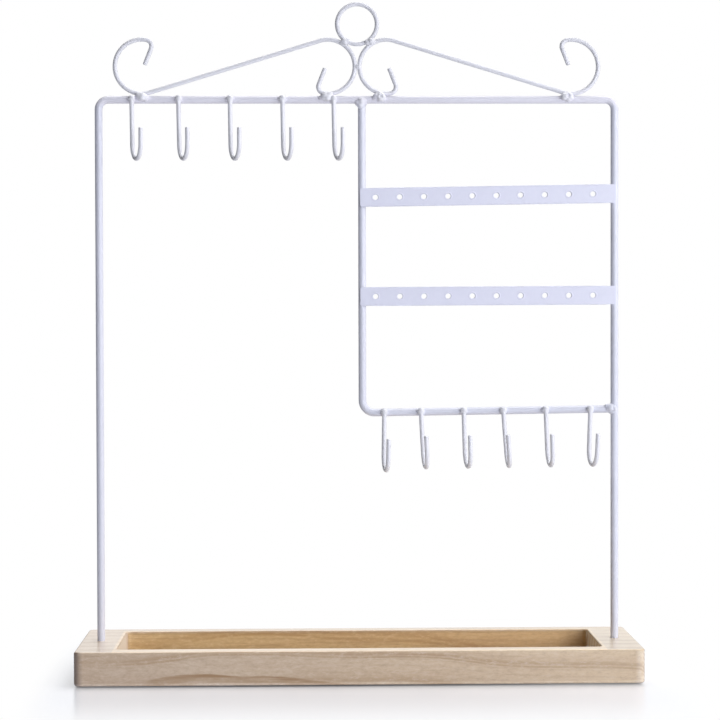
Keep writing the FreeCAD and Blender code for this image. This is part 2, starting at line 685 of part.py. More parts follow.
def make_fastenings():
    """Washer and hexagon nut on each stud, inside the counterbore."""
    washer_foot = SEAT_LEVEL + " - washer_thickness"
    nut_foot = washer_foot + " - nut_height"
    for side, sign in (("left", "-"), ("right", "")):
        x = sign + POST_PLACE
        disc = new_cylinder("washer_disc_" + side, "washer_diameter", "washer_thickness",
                            x, "0", washer_foot)
        hole = new_cylinder("washer_hole_" + side, "stud_diameter + 2 * stud_clearance",
                            "washer_thickness", x, "0", washer_foot)
        keep("post_washer_" + side, cut("washer_" + side, disc, hole))

        hexagon = doc.addObject("Part::Prism", "nut_hexagon_" + side)
        hexagon.Polygon = 6
        bind(hexagon, "Circumradius", "nut_across_flats / 2 / cos(30)")
        bind(hexagon, "Height", "nut_height")
        place(hexagon, x, "0", nut_foot)
        crown = doc.addObject("Part::Cone", "nut_crown_" + side)
        bind(crown, "Radius1", "nut_across_flats / 2")
        bind(crown, "Radius2", "nut_across_flats / 2 + nut_height / tan(30)")
        bind(crown, "Height", "nut_height")
        place(crown, x, "0", nut_foot)
        blank = doc.addObject("Part::Common", "nut_blank_" + side)
        blank.Base = hexagon
        blank.Tool = crown
        bore = new_cylinder("nut_bore_" + side, "stud_diameter + 2 * thread_clearance",
                            "nut_height", x, "0", nut_foot)
        keep("post_nut_" + side, cut("nut_" + side, blank, bore))


def make_pads():
    """Anti-slip pad under each corner of the base."""
    corners = [(x, y) for y in ("-", "") for x in ("-", "")]
    for number, (x, y) in enumerate(corners, 1):
        keep("foot_pad_%d" % number, new_cylinder(
            "pad_%d" % number, "pad_diameter", "pad_thickness",
            x + "(base_length / 2 - pad_inset)", y + "(base_depth / 2 - pad_inset)", "0"))


def check_and_write():
    """Stop if anything failed, and write each sub-part to its own file."""
    doc.recompute()
    for item in doc.Objects:
        if "Invalid" in item.State or "Error" in item.State:
            raise RuntimeError("%s has failed" % item.Name)
    for node in nodes:
        shape = node.Shape
        if shape.isNull() or not shape.isValid() or len(shape.Solids) != 1:
            raise RuntimeError("%s is not one sound solid" % node.Label)
    os.makedirs(OUTPUT_FOLDER, exist_ok=True)
    for node in nodes:
        node.Shape.exportStep("%s/%s.step" % (OUTPUT_FOLDER, node.Label))
        print("%-20s %8.1f mm3" % (node.Label, node.Shape.Volume))


def build_stand():
    """Build every sub-part in the order in which they are fitted to each other."""
    make_base()
    hoop = make_hoop()
    panel_rod = make_panel_rod(hoop)
    for strip in ("upper", "lower"):
        make_strip("earring_bar_" + strip, strip + "_strip_drop", strip + "_strip_slope",
                   [hoop, panel_rod])
    make_crest(hoop)
    make_hooks(hoop, panel_rod)
    make_fastenings()
    make_pads()
    check_and_write()


build_stand()
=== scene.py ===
import json
import math
import random

import bpy
import bmesh
from mathutils import Matrix, Vector, noise


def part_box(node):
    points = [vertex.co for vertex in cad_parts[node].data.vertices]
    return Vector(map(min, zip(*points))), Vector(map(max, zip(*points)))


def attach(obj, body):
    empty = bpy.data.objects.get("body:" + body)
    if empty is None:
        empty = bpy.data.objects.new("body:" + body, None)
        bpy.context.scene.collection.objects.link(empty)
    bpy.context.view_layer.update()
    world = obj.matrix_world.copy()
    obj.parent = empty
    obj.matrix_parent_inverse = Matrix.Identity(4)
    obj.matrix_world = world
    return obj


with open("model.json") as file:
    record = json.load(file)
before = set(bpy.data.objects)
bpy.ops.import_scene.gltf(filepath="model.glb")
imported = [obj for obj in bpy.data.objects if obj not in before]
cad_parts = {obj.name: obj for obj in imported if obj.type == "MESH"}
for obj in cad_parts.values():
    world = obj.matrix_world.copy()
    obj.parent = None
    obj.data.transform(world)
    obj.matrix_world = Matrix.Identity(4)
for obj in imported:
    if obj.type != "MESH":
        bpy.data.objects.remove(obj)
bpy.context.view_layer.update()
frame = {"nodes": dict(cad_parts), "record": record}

MM = 0.001

# Materials, stage and lights are in metres, and the pieces in millimetres.
# Half the length and half the depth of the base.
HALF_LENGTH, HALF_DEPTH = 0.15, 0.04
WHITE = (1.0, 1.0, 1.0, 1.0)


# ---------------------------------------------------------------- shader helpers

def put(tree, socket, value):
    """Link a socket if the value is one, and set it otherwise."""
    if isinstance(value, bpy.types.NodeSocket):
        tree.links.new(value, socket)
    else:
        socket.default_value = value


def fill(tree, node, **inputs):
    """Set or link a node's inputs, each given by its name or as i and its number."""
    for key, value in inputs.items():
        by_number = key[0] == "i" and key[1:].isdigit()
        put(tree, node.inputs[int(key[1:]) if by_number else key.replace("_", " ")], value)
    return node


def add(tree, kind, settings=None, **inputs):
    """Add a node, set its own settings and fill its inputs."""
    node = tree.nodes.new(kind)
    for key, value in (settings or {}).items():
        setattr(node, key, value)
    return fill(tree, node, **inputs)


def new_material(name):
    """Start a material, and return it with its tree, its Principled shader and the place on the object."""
    material = bpy.data.materials.new(name)
    material.use_nodes = True
    tree = material.node_tree
    place = add(tree, "ShaderNodeTexCoord").outputs["Object"]
    return material, tree, tree.nodes["Principled BSDF"], place


def axes(tree, vector):
    """Split a vector into its x, y and z."""
    return add(tree, "ShaderNodeSeparateXYZ", i0=vector).outputs


def maths(tree, operation, a, b=0.0, c=0.0):
    """Arithmetic on one to three numbers."""
    return add(tree, "ShaderNodeMath", {"operation": operation}, i0=a, i1=b, i2=c).outputs[0]


def times(tree, a, b):
    """Multiply two numbers, or keep what two masks share."""
    return maths(tree, "MULTIPLY", a, b)


def absolute(tree, value):
    """Drop a number's sign."""
    return maths(tree, "ABSOLUTE", value)


def hypotenuse(tree, a, b):
    """Length of the diagonal over two numbers."""
    return maths(tree, "SQRT", maths(tree, "ADD", times(tree, a, a), times(tree, b, b)))


def fog(tree, vector, scale, detail=3.0, roughness=0.5, distortion=0.0):
    """Noise between 0 and 1."""
    return add(tree, "ShaderNodeTexNoise", Vector=vector, Scale=scale, Detail=detail,
               Roughness=roughness, Distortion=distortion).outputs[0]


def streaks(tree, vector, scales, detail, roughness):
    """Noise between 0 and 1, with a scale of its own along each axis."""
    stretched = add(tree, "ShaderNodeMapping", Vector=vector, Scale=scales).outputs[0]
    return fog(tree, stretched, 1.0, detail, roughness)


def cells(tree, vector, scale, output):
    """Voronoi cells: the distance to the nearest middle, or the colour of the cell."""
    return add(tree, "ShaderNodeTexVoronoi", {"feature": "F1"}, Vector=vector, Scale=scale).outputs[output]


def opaque(colour):
    """Give a colour full alpha, unless it comes from a socket."""
    return colour if isinstance(colour, bpy.types.NodeSocket) else tuple(colour) + (1.0,)


def ramp(tree, factor, stops):
    """Turn a number into a colour by a row of (place, colour) stops with soft steps between them."""
    node = add(tree, "ShaderNodeValToRGB", i0=factor)
    bar = node.color_ramp
    bar.interpolation = "EASE"
    while len(bar.elements) < len(stops):
        bar.elements.new(1.0)
    for element, (place, colour) in zip(bar.elements, stops):
        element.position = place
        element.color = opaque(colour)
    return node.outputs[0]


def levels(tree, factor, stops):
    """Turn a number into another by a row of (place, height) stops with soft steps between them."""
    return ramp(tree, factor, [(place, (height,) * 3) for place, height in stops])


def spread(tree, value, low, high, to_low=0.0, to_high=1.0):
    """Map a range of numbers on another, held at its ends."""
    return add(tree, "ShaderNodeMapRange", Value=value, i1=low, i2=high, i3=to_low, i4=to_high).outputs[0]


def trace(tree, value, shape):
    """Read a smooth curve through (place, height) points, all between 0 and 1."""
    node = add(tree, "ShaderNodeFloatCurve", Value=value)
    line = node.mapping.curves[0]
    while len(line.points) < len(shape):
        line.points.new(0.5, 0.5)
    for point, spot in zip(line.points, shape):
        point.location = spot
    node.mapping.update()
    return node.outputs[0]


def blend(tree, factor, first, second, mode="MIX"):
    """Mix two colours."""
    return add(tree, "ShaderNodeMix", {"data_type": "RGBA", "blend_type": mode},
               i0=factor, i6=opaque(first), i7=opaque(second)).outputs[2]


def tinted(tree, tone, factors):
    """Multiply a colour by another one."""
    return blend(tree, 1.0, tone, factors, "MULTIPLY")


def bump(tree, height, distance, strength=1.0, under=None):
    """Bump from a height, on top of another one if it is given."""
    node = add(tree, "ShaderNodeBump", Height=height, Distance=distance, Strength=strength)
    if under is not None:
        tree.links.new(under, node.inputs["Normal"])
    return node.outputs[0]


# ---------------------------------------------------------------- materials

def make_powder_coat():
    """Satin white powder coat with a cool tint, orange peel and a few baked-in nibs."""
    material, tree, shader, place = new_material("powder_coat")
    drift = fog(tree, place, 45.0, 4.0)
    patch = fog(tree, place, 420.0, 3.0, 0.6)
    tone = blend(tree, spread(tree, drift, 0.3, 0.7), (0.715, 0.725, 0.81), (0.745, 0.755, 0.84))

    # The coat's colour is shifted by place, over bands in metres, to paint in light and shade. Painted light
    # makes the top bar a little brighter than the posts. The crest is painted a more neutral white, with
    # painted shade darker in the upper half of its curls and in the ring, and painted light makes the hooks
    # the brightest. The flat strips carry a painted bluish reflection of the front light.
    _, y, z = axes(tree, place)
    bar_foot, crest_foot, curl_middle = (0.3074, 0.3084), (0.3128, 0.3142), (0.330, 0.345)
    hook_back = (-0.0034, -0.0042)
    tone = blend(tree, spread(tree, z, *bar_foot), tone, tinted(tree, tone, (1.08, 1.05, 1.03)))
    tone = blend(tree, spread(tree, z, *crest_foot), tone, (0.785, 0.785, 0.825))
    tone = blend(tree, spread(tree, z, *curl_middle), tone, (0.735, 0.735, 0.775))
    tone = blend(tree, spread(tree, y, *hook_back), tone, (0.83, 0.83, 0.87))
    strip_back, strip_front = (-0.00205, -0.00215), (-0.0036, -0.0035)
    strips_foot, strips_top = (0.199, 0.1995), (0.266, 0.2655)
    strip = times(tree, spread(tree, y, *strip_back), spread(tree, y, *strip_front))
    strip = times(tree, strip, times(tree, spread(tree, z, *strips_foot), spread(tree, z, *strips_top)))
    tone = blend(tree, strip, tone, (0.772, 0.780, 0.90))

    # Patches of thicker coat are paler, and each nib is a small dark grain.
    tone = blend(tree, spread(tree, patch, 0.42, 0.75, 0.0, 0.35), tone,
                 tinted(tree, tone, (1.07, 1.07, 1.05)))
    nibs = spread(tree, cells(tree, place, 330.0, "Distance"), 0.0, 0.09, 1.0, 0.0)
    tone = blend(tree, times(tree, nibs, 0.35), tone, (0.62, 0.62, 0.70))
    relief = bump(tree, fog(tree, place, 950.0, 2.0, 0.45, 0.2), 0.000025, 0.18)
    relief = bump(tree, fog(tree, place, 3600.0, 2.0, 0.6), 0.000005, 0.2, relief)
    relief = bump(tree, nibs, 0.00003, 0.35, relief)
    fill(tree, shader, Base_Color=tone, Roughness=spread(tree, patch, 0.25, 0.75, 0.36, 0.50), Normal=relief,
         Specular_IOR_Level=0.5, Coat_Weight=0.18, Coat_Roughness=0.24)
    return material


def growth_rings(tree, place, along, y, z):
    """Number of growth rings from the pith, in front of the board and below it, to a place in the wood."""
    pith_in_front, pith_below, ring_width = 0.098, 0.046, 9.6 * MM
    # The rings wander along the board: the drift is one slow curve with finer waves on it.
    drift = trace(tree, along, ((0.0, 0.38), (0.10, 0.47), (0.17, 0.67), (0.28, 0.94), (0.37, 0.91),
                                (0.50, 0.77), (0.57, 0.74), (0.63, 0.65), (0.70, 0.43), (0.75, 0.29),
                                (0.82, 0.24), (0.90, 0.19), (1.0, 0.06)))
    waves = maths(tree, "SUBTRACT", streaks(tree, place, (16.0, 70.0, 70.0), 2.0, 0.5), 0.5)
    rise = maths(tree, "MULTIPLY_ADD", waves, 2.6 * MM, times(tree, drift, 7.34 * MM))
    reach = hypotenuse(tree, maths(tree, "ADD", y, pith_in_front), maths(tree, "ADD", z, pith_below))
    return maths(tree, "DIVIDE", maths(tree, "SUBTRACT", reach, rise), ring_width)


def front_flame(tree, place, along, y, z):
    """Strength of the flame of dark late wood that lies low on the front, left of the middle."""
    crest = trace(tree, along, ((0.0, 0.10), (0.12, 0.37), (0.16, 0.58), (0.19, 0.68), (0.22, 0.71),
                                (0.26, 0.63), (0.30, 0.57), (0.34, 0.56), (0.39, 0.45), (0.43, 0.31),
                                (0.50, 0.10), (1.0, 0.0)))
    body = trace(tree, along, ((0.0, 0.0), (0.09, 0.10), (0.14, 0.60), (0.20, 1.0), (0.34, 1.0),
                               (0.42, 0.80), (0.48, 0.40), (0.53, 0.1), (1.0, 0.0)))
    wisp = streaks(tree, place, (34.0, 60.0, 520.0), 4.0, 0.6)
    below = maths(tree, "SUBTRACT", times(tree, crest, 10.0 * MM), z)
    below = maths(tree, "MULTIPLY_ADD", maths(tree, "SUBTRACT", wisp, 0.5), 1.6 * MM, below)
    flame = times(tree, spread(tree, below, -0.35 * MM, 0.35 * MM), spread(tree, below, 4.6 * MM, 1.2 * MM))
    flame = times(tree, flame, times(tree, body, spread(tree, wisp, 0.36, 0.58, 0.30, 1.0)))
    return times(tree, flame, spread(tree, y, -34.0 * MM, -38.0 * MM))


def make_pine():
    """Sanded pine as one solid block: slanting growth rings, fibres, end grain and a routed tray."""
    material, tree, shader, place = new_material("pine_block")
    x, y, z = axes(tree, place)
    face_x, face_y, face_z = axes(tree, add(tree, "ShaderNodeNewGeometry").outputs["True Normal"])
    along = spread(tree, x, -HALF_LENGTH, HALF_LENGTH)

    # Each ring has a broad band of dark late wood, and four faint ones between it and the next.
    rings = growth_rings(tree, place, along, y, z)
    broad = levels(tree, maths(tree, "FRACT", maths(tree, "ADD", rings, 0.525)),
                   ((0.0, 0.30), (0.22, 0.06), (0.50, 0.0), (0.68, 0.10), (0.745, 1.0), (0.80, 0.48),
                    (0.86, 1.0), (0.91, 0.80), (1.0, 0.30)))
    minor = levels(tree, maths(tree, "FRACT", maths(tree, "MULTIPLY_ADD", rings, 4.0, 0.35)),
                   ((0.0, 0.25), (0.30, 0.0), (0.62, 0.05), (0.78, 1.0), (1.0, 0.25)))
    fade = streaks(tree, place, (11.0, 60.0, 60.0), 3.0, 0.55)
    broad = times(tree, broad, spread(tree, fade, 0.34, 0.58, 0.30, 1.0))
    late = times(tree, minor, spread(tree, fade, 0.40, 0.66, 0.05, 0.34))

    fibre = streaks(tree, place, (26.0, 820.0, 820.0), 5.0, 0.62)
    strand = streaks(tree, place, (7.0, 150.0, 150.0), 4.0, 0.55)
    fleck = streaks(tree, place, (240.0, 640.0, 640.0), 4.0, 0.75)
    cloud = streaks(tree, place, (9.0, 22.0, 22.0), 3.0, 0.5)

    # From the ground up: clouds, strands, a right side made paler by painted light, late wood, fibres, flecks
    # and the flame.
    tone = blend(tree, spread(tree, cloud, 0.3, 0.7), (0.60, 0.46, 0.328), (0.65, 0.51, 0.366))
    tone = blend(tree, spread(tree, strand, 0.35, 0.75, 0.0, 0.45), tone, (0.58, 0.42, 0.295))
    # Painted light from the right makes the right side paler.
    tone = blend(tree, spread(tree, x, -0.11, 0.15), tone, tinted(tree, tone, (1.11, 1.10, 0.98)))
    tone = blend(tree, late, tone, (0.49, 0.335, 0.21))
    tone = blend(tree, times(tree, broad, 0.82), tone, (0.445, 0.285, 0.15))
    tone = blend(tree, spread(tree, fibre, 0.50, 0.82, 0.0, 0.30), tone, (0.50, 0.34, 0.22))
    tone = blend(tree, spread(tree, fibre, 0.46, 0.22, 0.0, 0.28), tone, (0.72, 0.59, 0.47))
    tone = blend(tree, spread(tree, fleck, 0.51, 0.68, 0.0, 0.46), tone, (0.44, 0.30, 0.20))
    tone = blend(tree, spread(tree, fleck, 0.49, 0.32, 0.0, 0.46), tone, (0.76, 0.63, 0.51))
    tone = blend(tree, front_flame(tree, place, along, y, z), tone, (0.375, 0.222, 0.105))

    # End grain drinks more of the lacquer, on both ends of the block and of the tray.
    end = spread(tree, absolute(tree, face_x), 0.6, 0.9)
    pores = fog(tree, place, 1900.0, 3.0, 0.7)
    fine = maths(tree, "PINGPONG", times(tree, rings, 5.0), 0.5)
    stripes = maths(tree, "MAXIMUM", broad, spread(tree, fine, 0.22, 0.40, 0.0, 0.85))
    tone = blend(tree, times(tree, end, 0.80), tone,
                 blend(tree, stripes, (0.76, 0.62, 0.47), (0.42, 0.28, 0.175)))
    tone = blend(tree, times(tree, end, spread(tree, pores, 0.52, 0.75, 0.0, 0.5)), tone, (0.40, 0.26, 0.16))

    # The routed tray's long-grain faces are painted a deeper honey, painted shade and bounce light of the
    # recess. Its left end wall, which faces right, is painted light and pale; its right one, which faces
    # left, keeps its end-grain stripes on a ground painted near white to offset its shade.
    tray_ends, tray_top = (0.1292, 0.1284), (0.0187, 0.0172)
    tray_front, tray_back = (-0.0312, -0.0304), (0.0317, 0.0309)
    inside = times(tree, spread(tree, absolute(tree, x), *tray_ends),
                   times(tree, spread(tree, y, *tray_front), spread(tree, y, *tray_back)))
    inside = times(tree, inside, spread(tree, z, *tray_top))
    recess_shade_tint = blend(tree, spread(tree, x, -0.13, 0.13), (1.11, 1.04, 0.72), (0.99, 0.88, 0.62))
    honey_painted_shade = tinted(tree, tone, recess_shade_tint)
    tone = blend(tree, times(tree, inside, spread(tree, face_x, 0.3, 0.8)), tone,
                 blend(tree, 0.85, tone, (0.96, 0.93, 0.88)))
    wide = maths(tree, "PINGPONG", maths(tree, "MULTIPLY_ADD", rings, 1.2, 0.15), 0.5)
    right_wall_grain_and_light = blend(tree, spread(tree, wide, 0.33, 0.42), (0.99, 0.98, 0.97), (0.76, 0.64, 0.54))
    tone = blend(tree, times(tree, inside, spread(tree, face_x, -0.5, -0.9)), tone, right_wall_grain_and_light)
    long_grain = times(tree, inside, spread(tree, end, 0.0, 1.0, 1.0, 0.0))
    tone = blend(tree, long_grain, tone, honey_painted_shade)
    tone = blend(tree, times(tree, long_grain, spread(tree, fibre, 0.50, 0.72, 0.0, 0.62)), tone,
                 (0.42, 0.25, 0.12))

    # Painted light: the top is lightened, more on the left than on the right, and washed half way towards a
    # flat pale tone, and the lips of the tray on it carry a painted cream highlight.
    top = times(tree, spread(tree, face_z, 0.5, 0.95), spread(tree, z, 0.018, 0.0195))
    top_painted_light = blend(tree, along, (1.47, 1.52, 1.54), (1.21, 1.31, 1.42))
    tone = blend(tree, top, tone, tinted(tree, tone, top_painted_light))
    top_painted_wash = blend(tree, along, (0.98, 0.93, 0.87), (0.89, 0.825, 0.765))
    tone = blend(tree, times(tree, top, 0.50), tone, top_painted_wash)
    # Painted highlight along the tray's lips.
    lip_ends, lip_sides, lips_forward = (0.1302, 0.1298), (0.0365, 0.0363), 0.004
    lip = times(tree, spread(tree, absolute(tree, x), *lip_ends),
                spread(tree, absolute(tree, maths(tree, "ADD", y, lips_forward)), *lip_sides))
    tone = blend(tree, times(tree, top, lip), tone, tinted(tree, tone, (1.30, 1.21, 1.02)))

    # Painted shade: the tray's back wall darkens under its lip and towards the right, and its left back
    # corner a little.
    wall = times(tree, inside, spread(tree, face_y, -0.5, -0.9))
    under_lip = times(tree, spread(tree, z, 0.0166, 0.0176), spread(tree, x, 0.116, 0.128, 0.22, 0.80))
    back_wall_painted_shade = maths(tree, "MAXIMUM", times(tree, spread(tree, x, 0.112, 0.129), 0.45), under_lip)
    tone = blend(tree, times(tree, wall, back_wall_painted_shade), tone, (0.16, 0.085, 0.06))
    nook_painted_shade = times(tree, spread(tree, x, -0.1264, -0.1274), spread(tree, y, 0.0268, 0.0290, 0.0, 0.5))
    tone = blend(tree, times(tree, inside, nook_painted_shade), tone, (0.44, 0.29, 0.17))

    # Painted shade: the block's left end and the front edge beside it are darker.
    left_end_painted_shade = times(tree, spread(tree, face_x, -0.40, -0.90), spread(tree, x, -0.140, -0.145))
    tone = blend(tree, times(tree, left_end_painted_shade, 0.42), tone, (0.20, 0.14, 0.11))
    left_edge_painted_shade = times(tree, spread(tree, face_y, -0.2, -0.6), spread(tree, x, -0.1450, -0.1482, 0.0, 0.60))
    tone = blend(tree, left_edge_painted_shade, tone, (0.20, 0.14, 0.12))

    # Painted highlights make the edges round the foot of the front and down its right corner paler: the foot
    # with a painted reflection of the table, the corner with painted shine of the light from the right.
    front = spread(tree, y, -0.0310, -0.0360)
    corner = times(tree, spread(tree, x, 0.1446, 0.1464), spread(tree, z, 0.0185, 0.0170))
    tone = blend(tree, times(tree, front, corner), tone, tinted(tree, tone, (1.15, 1.24, 1.42)))
    foot = times(tree, spread(tree, z, 0.0026, 0.0016), spread(tree, x, 0.148, 0.142))
    tone = blend(tree, times(tree, front, foot), tone, tinted(tree, tone, (1.40, 1.50, 1.68)))

    # Fibres and late wood stand proud, and the router has left its passes and swirls on the tray's floor.
    relief = bump(tree, fibre, 0.00006, 0.45)
    relief = bump(tree, broad, 0.00010, 0.35, relief)
    floor = times(tree, inside, spread(tree, face_z, 0.8, 0.95))
    passes = maths(tree, "PINGPONG", maths(tree, "ADD", y, 0.2), 4.5 * MM)
    swirl = add(tree, "ShaderNodeTexWave", {"wave_type": "RINGS", "rings_direction": "Z"},
                Vector=place, Scale=210.0, Distortion=1.5, Detail=2.0).outputs[1]
    track = maths(tree, "ADD", times(tree, passes, 140.0), times(tree, swirl, 0.35))
    relief = bump(tree, times(tree, floor, track), 0.00009, 0.55, relief)
    rough = maths(tree, "ADD", spread(tree, fibre, 0.25, 0.8, 0.44, 0.60), times(tree, end, 0.12))
    fill(tree, shader, Base_Color=tone, Roughness=rough, Normal=relief, Coat_Weight=0.90, Coat_Roughness=0.27)
    return material


def make_zinc():
    """Bright zinc plating with faint spangle and turning marks."""
    material, tree, shader, place = new_material("zinc_plate")
    cloud = fog(tree, place, 600.0, 4.0, 0.6)
    tone = blend(tree, spread(tree, cloud, 0.3, 0.7), (0.56, 0.58, 0.61), (0.72, 0.73, 0.74))
    tone = blend(tree, 0.08, tone, cells(tree, place, 1400.0, "Color"))
    marks = streaks(tree, place, (300.0, 300.0, 5200.0), 3.0, 0.6)
    fill(tree, shader, Base_Color=tone, Metallic=1.0, Roughness=spread(tree, cloud, 0.25, 0.75, 0.24, 0.42),
         Normal=bump(tree, marks, 0.00002, 0.5))
    return material


def make_rubber():
    """Matt grey rubber of the pads, with a fine stipple and a little dust."""
    material, tree, shader, place = new_material("pad_rubber")
    dust = fog(tree, place, 240.0, 4.0, 0.65)
    tone = blend(tree, spread(tree, dust, 0.4, 0.75), (0.30, 0.30, 0.305), (0.42, 0.41, 0.40))
    stipple = cells(tree, place, 2300.0, "Distance")
    fill(tree, shader, Base_Color=tone, Roughness=spread(tree, dust, 0.3, 0.7, 0.66, 0.86),
         Normal=bump(tree, stipple, 0.00004, 0.6))
    return material


def make_table():
    """Plain white surface that keeps the shadow and a soft mirror image, and fades into the backdrop."""
    material, tree, shader, place = new_material("white_table")
    seen = add(tree, "ShaderNodeLightPath").outputs["Is Camera Ray"]
    x, y, _ = axes(tree, place)
    from_middle_x, from_middle_y = absolute(tree, x), absolute(tree, y)

    # The table is lifted a little for the camera, and less under the base, where the lower lift is a painted
    # shadow that keeps the gap dark, varying along the base.
    open_lift = 0.20
    under = times(tree, spread(tree, from_middle_x, 0.149, 0.147),
                  spread(tree, from_middle_y, 0.0400, 0.0385))
    shadowed_gap_lift = trace(tree, spread(tree, x, -HALF_LENGTH, HALF_LENGTH),
                     ((0.0, 0.14), (0.08, 0.14), (0.25, 0.08), (0.55, 0.08), (0.75, 0.12), (0.88, 0.20),
                      (1.0, 0.20)))
    lift = maths(tree, "ADD", open_lift, times(tree, under, maths(tree, "SUBTRACT", shadowed_gap_lift, open_lift)))
    fill(tree, shader, Base_Color=(0.68, 0.69, 0.725, 1.0), Roughness=0.24, Specular_IOR_Level=0.74,
         Specular_Tint=(0.84, 0.88, 1.0, 1.0), Emission_Color=WHITE,
         Emission_Strength=times(tree, seen, lift))

    # Away from the base it fades to the backdrop's white, six times sooner past the ends than in front.
    out_x = maths(tree, "MAXIMUM", maths(tree, "SUBTRACT", from_middle_x, HALF_LENGTH), 0.0)
    out_y = maths(tree, "MAXIMUM", maths(tree, "SUBTRACT", from_middle_y, HALF_DEPTH), 0.0)
    away = hypotenuse(tree, times(tree, out_x, 6.0), out_y)
    far = add(tree, "ShaderNodeMapRange", {"interpolation_type": "SMOOTHSTEP"}, Value=away,
              i1=0.02, i2=0.15, i3=0.0, i4=1.0).outputs[0]
    glow = add(tree, "ShaderNodeEmission", Color=WHITE, Strength=1.0).outputs[0]
    mixed = add(tree, "ShaderNodeMixShader", i0=times(tree, far, seen), i1=shader.outputs[0], i2=glow)
    fill(tree, tree.nodes["Material Output"], Surface=mixed.outputs[0])
    return material


MATERIALS = {"coated_steel": make_powder_coat(), "pine": make_pine(), "zinc_plate": make_zinc(),
             "pad_rubber": make_rubber()}
SLOT_OF = {part["node"]: part["material_slot"] for part in frame["record"]["subparts"]}
for node_name, item in frame["nodes"].items():
    for spot in item.material_slots:
        spot.material = MATERIALS[SLOT_OF[node_name]]


# ---------------------------------------------------------------- pieces that Blender adds, in millimetres

def new_object(mesh, name, material):
    """Turn a bmesh into an object of the scene."""
    data = bpy.data.meshes.new(name)
    mesh.to_mesh(data)
    mesh.free()
    data.materials.append(material)
    item = bpy.data.objects.new(name, data)
    bpy.context.scene.collection.objects.link(item)
    return item


def finish_piece(mesh, name, slot_name):
    """Turn a bmesh into a smooth object that rides on the stand."""
    item = new_object(mesh, name, MATERIALS[slot_name])
    for face in item.data.polygons:
        face.use_smooth = True
    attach(item, "root")
    return item


def skin(mesh, rings):
    """Join each ring of corners to the next one with faces."""
    count = len(rings[0])
    for first, second in zip(rings, rings[1:]):
        for k in range(count):
            mesh.faces.new((first[k], second[k], second[(k + 1) % count], first[(k + 1) % count]))


def skin_with_ends(mesh, rings):
    """Join rings of corners into a closed rod."""
    skin(mesh, rings)
    mesh.faces.new(rings[0])
    mesh.faces.new(rings[-1])


def weld_bead(name, lumps, seed, crater=None, fineness=4):
    """One bead of weld: round lumps of metal that have run together, and the pit its end leaves."""
    shift = Vector((seed * 7.3, seed * 3.1, seed * 5.7))
    middle = sum((Vector(lump[:3]) for lump in lumps), Vector()) / len(lumps)
    least_reach = 0.4
    ripples = ((0.10, 1.9), (0.035, 5.5))  # height and scale of each
    mesh = bmesh.new()
    bmesh.ops.create_icosphere(mesh, subdivisions=fineness, radius=1.0)
    for vert in mesh.verts:
        way = vert.co.normalized()
        reach = least_reach
        for lump in lumps:
            away = Vector(lump[:3]) - middle
            along = way.dot(away)
            gap = (away - way * along).length
            if gap < lump[3]:
                reach = max(reach, along + math.sqrt(lump[3] ** 2 - gap ** 2))
        ripple = sum(height * noise.noise(way * scale + shift) for height, scale in ripples)
        vert.co = (middle + way * reach * (1.0 + ripple)) * MM
    for _ in range(fineness - 1):
        bmesh.ops.smooth_vert(mesh, verts=mesh.verts, factor=0.5,
                              use_axis_x=True, use_axis_y=True, use_axis_z=True)
    if crater:
        # A pit with a raised rim round it, in the front of the bead. Gaps are shares of the pit's radius.
        pit_x, pit_z, pit_radius = crater
        pit_depth, rim_height, rim_gap, widest_gap = 0.55, 0.3, 1.1, 1.6
        for vert in mesh.verts:
            gap = math.hypot(vert.co.x / MM - pit_x, vert.co.z / MM - pit_z) / pit_radius
            if vert.co.y / MM < middle.y and gap < widest_gap:
                pit, rim = max(0.0, 1.0 - gap * gap), math.exp(-9.0 * (gap - rim_gap) ** 2)
                vert.co.y += pit_depth * pit_radius * MM * (pit - rim_height * rim)
    return finish_piece(mesh, name, "coated_steel")


def corners_of(node_name):
    """Lowest and highest corner of a CAD node."""
    low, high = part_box(node_name)
    return Vector(low) / MM, Vector(high) / MM


# The coated rod of the hoop, and how far from the middle the axes of its posts stand.
ROD = 4.16
hoop_low, hoop_high = corners_of("main_frame_hoop")
POST = hoop_high.x - ROD / 2


def add_thread(name, x):
    """Rolled thread on the end of a post's stud, below its nut: a ridge that winds round the stud."""
    pitch, steps, root, crest, half_ridge = 0.5, 24, 1.47, 1.5, 0.20
    start, into_nut, proud = 0.12, 0.3, 0.10
    nut_low, _ = corners_of("post_nut_left")
    foot = hoop_low.z
    turns = (nut_low.z - foot + into_nut) / pitch
    mesh = bmesh.new()
    rows = []
    for i in range(int(turns * steps) + 1):
        turn = 2 * math.pi * i / steps
        level = foot + start + pitch * i / steps
        taper = min(1.0, i / steps, turns - i / steps) if turns > i / steps else 0.0
        rim = crest + proud * max(taper, 0.05)
        rows.append([mesh.verts.new(((x + radius * math.cos(turn)) * MM, radius * math.sin(turn) * MM,
                                     (level + lift) * MM))
                     for radius, lift in ((root, -half_ridge), (rim, 0.0), (root, half_ridge))])
    skin_with_ends(mesh, rows)
    bmesh.ops.recalc_face_normals(mesh, faces=mesh.faces)
    return finish_piece(mesh, name, "zinc_plate")


add_thread("stud_thread_left", -POST)
add_thread("stud_thread_right", POST)

